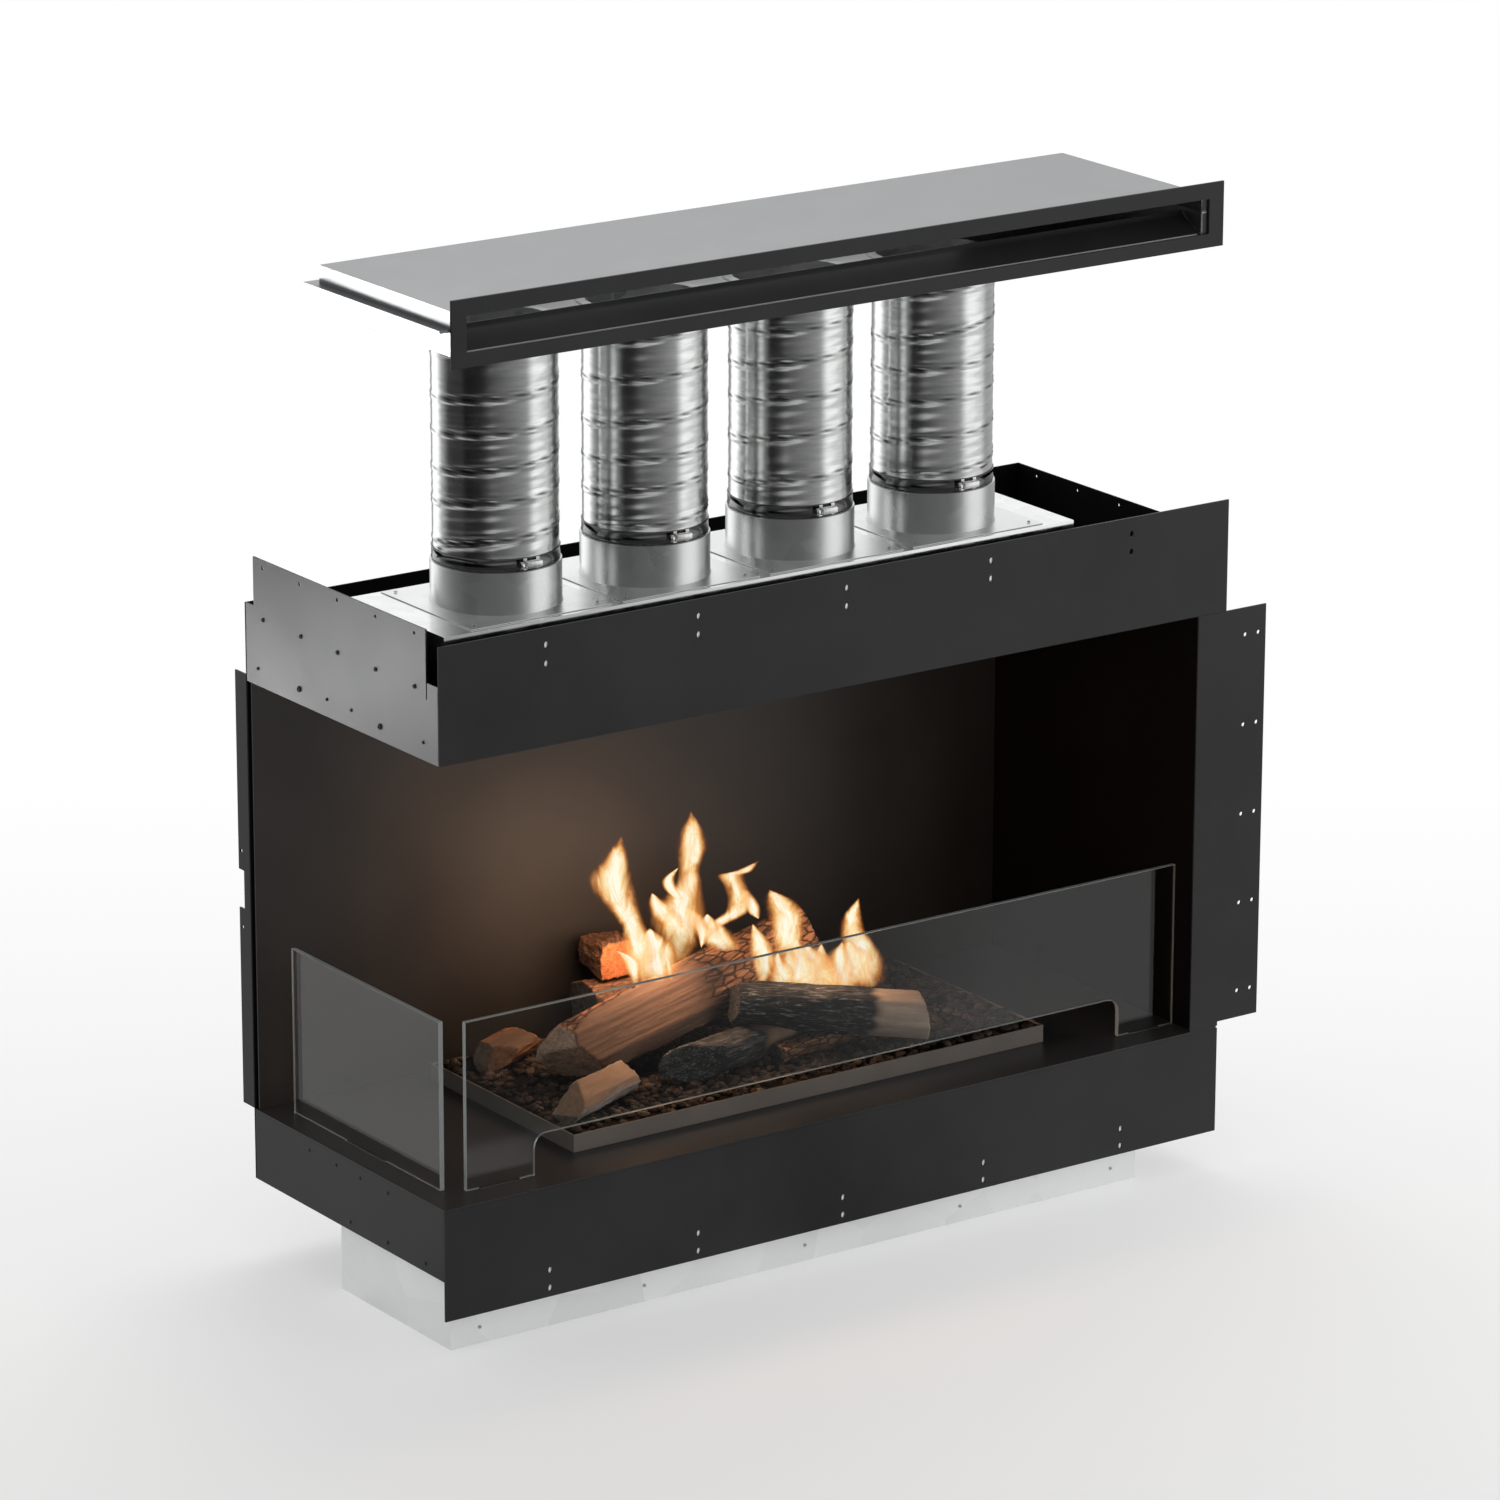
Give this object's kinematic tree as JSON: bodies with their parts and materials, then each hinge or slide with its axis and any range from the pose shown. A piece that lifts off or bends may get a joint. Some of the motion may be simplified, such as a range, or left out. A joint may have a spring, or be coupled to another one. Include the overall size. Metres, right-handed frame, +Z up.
{
  "type": "corner bioethanol fireplace",
  "caption": "Built-in corner fireplace casing open at front and left, with glass guards, ceramic logs over an ethanol burner, and ribbed ducts up to a slotted outlet hood.",
  "frame": {"origin": "on the floor under the middle of the outer box", "axes": "+X to the right along the front, +Y from the front to the back, +Z up"},
  "size_m": [1.118, 0.4176, 1.1726],
  "materials": {
    "black_coated_steel": "matt black powder coat",
    "chamber_steel": "dark heat-resistant coat",
    "galvanised_steel": "bright galvanised sheet",
    "pale_zinc_sheet": "pale galvanised sheet",
    "duct_aluminium": "shiny ribbed foil",
    "clamp_steel": "dark hose-clamp band",
    "bright_screw_steel": "bright zinc",
    "stainless_steel": "brushed stainless",
    "ceramic_wool": "soft fibre block",
    "pebbles": "dark brown pebbles",
    "split_log_ceramic": "split wood grain",
    "charred_log_ceramic": "charred bark",
    "guard_glass": "clear toughened glass"
  },
  "bodies": {
    "casing": {"floor_plate": "black_coated_steel", "front_apron": "black_coated_steel", "left_apron": "black_coated_steel", "outer_back": "black_coated_steel", "outer_right": "black_coated_steel", "front_fascia": "black_coated_steel", "left_fascia": "black_coated_steel", "right_flange_plate": "black_coated_steel", "rear_flange": "black_coated_steel", "log_tray": "black_coated_steel", "hood_frame": "black_coated_steel", "inner_back": "chamber_steel", "inner_right": "chamber_steel", "ceiling_plate": "chamber_steel", "plenum_box": "galvanised_steel", "hood_tray": "galvanised_steel", "hood_lid": "galvanised_steel", "base_box": "pale_zinc_sheet", "duct_collar_1": "galvanised_steel", "hood_collar_1": "galvanised_steel", "duct_1": "duct_aluminium", "clamp_band_1": "clamp_steel", "duct_collar_2": "galvanised_steel", "hood_collar_2": "galvanised_steel", "duct_2": "duct_aluminium", "clamp_band_2": "clamp_steel", "duct_collar_3": "galvanised_steel", "hood_collar_3": "galvanised_steel", "duct_3": "duct_aluminium", "clamp_band_3": "clamp_steel", "duct_collar_4": "galvanised_steel", "hood_collar_4": "galvanised_steel", "duct_4": "duct_aluminium", "clamp_band_4": "clamp_steel", "burner_tank": "stainless_steel", "burner_lid": "stainless_steel", "wool_block": "ceramic_wool", "pebble_bed": "pebbles", "log_large_split": "split_log_ceramic", "log_lower_middle": "charred_log_ceramic", "log_small_front": "split_log_ceramic", "log_left_split": "split_log_ceramic", "log_rear_charred": "charred_log_ceramic", "log_low_bark": "charred_log_ceramic", "log_front_charred": "charred_log_ceramic", "log_rear_sawn": "split_log_ceramic"},
    "front_pane": {"front_glass": "guard_glass"},
    "side_pane": {"side_glass": "guard_glass"},
    "shutter": {"burner_shutter": "stainless_steel"},
    "worm_screw_1": {"clamp_screw_1": "bright_screw_steel"},
    "worm_screw_2": {"clamp_screw_2": "bright_screw_steel"},
    "worm_screw_3": {"clamp_screw_3": "bright_screw_steel"},
    "worm_screw_4": {"clamp_screw_4": "bright_screw_steel"}
  },
  "joints": [
    {"name": "front_pane_lift", "type": "slide", "parent": "casing", "child": "front_pane", "axis": [0, 0, 1], "range_m": [0, 0.1]},
    {"name": "side_pane_lift", "type": "slide", "parent": "casing", "child": "side_pane", "axis": [0, 0, 1], "range_m": [0, 0.1]},
    {"name": "shutter_slide", "type": "slide", "parent": "casing", "child": "shutter", "axis": [1, 0, 0], "range_m": [0, 0.04]},
    {"name": "clamp_screw_turn_1", "type": "hinge", "parent": "casing", "child": "worm_screw_1", "pos_m": [-0.4184, -0.17705, 0.8646], "axis": [-1, 0, 0], "range_deg": [0, 1800]},
    {"name": "clamp_screw_turn_2", "type": "hinge", "parent": "casing", "child": "worm_screw_2", "pos_m": [-0.2259, -0.17705, 0.8646], "axis": [-1, 0, 0], "range_deg": [0, 1800]},
    {"name": "clamp_screw_turn_3", "type": "hinge", "parent": "casing", "child": "worm_screw_3", "pos_m": [-0.0334, -0.17705, 0.8646], "axis": [-1, 0, 0], "range_deg": [0, 1800]},
    {"name": "clamp_screw_turn_4", "type": "hinge", "parent": "casing", "child": "worm_screw_4", "pos_m": [0.1591, -0.17705, 0.8646], "axis": [-1, 0, 0], "range_deg": [0, 1800]}
  ]
}
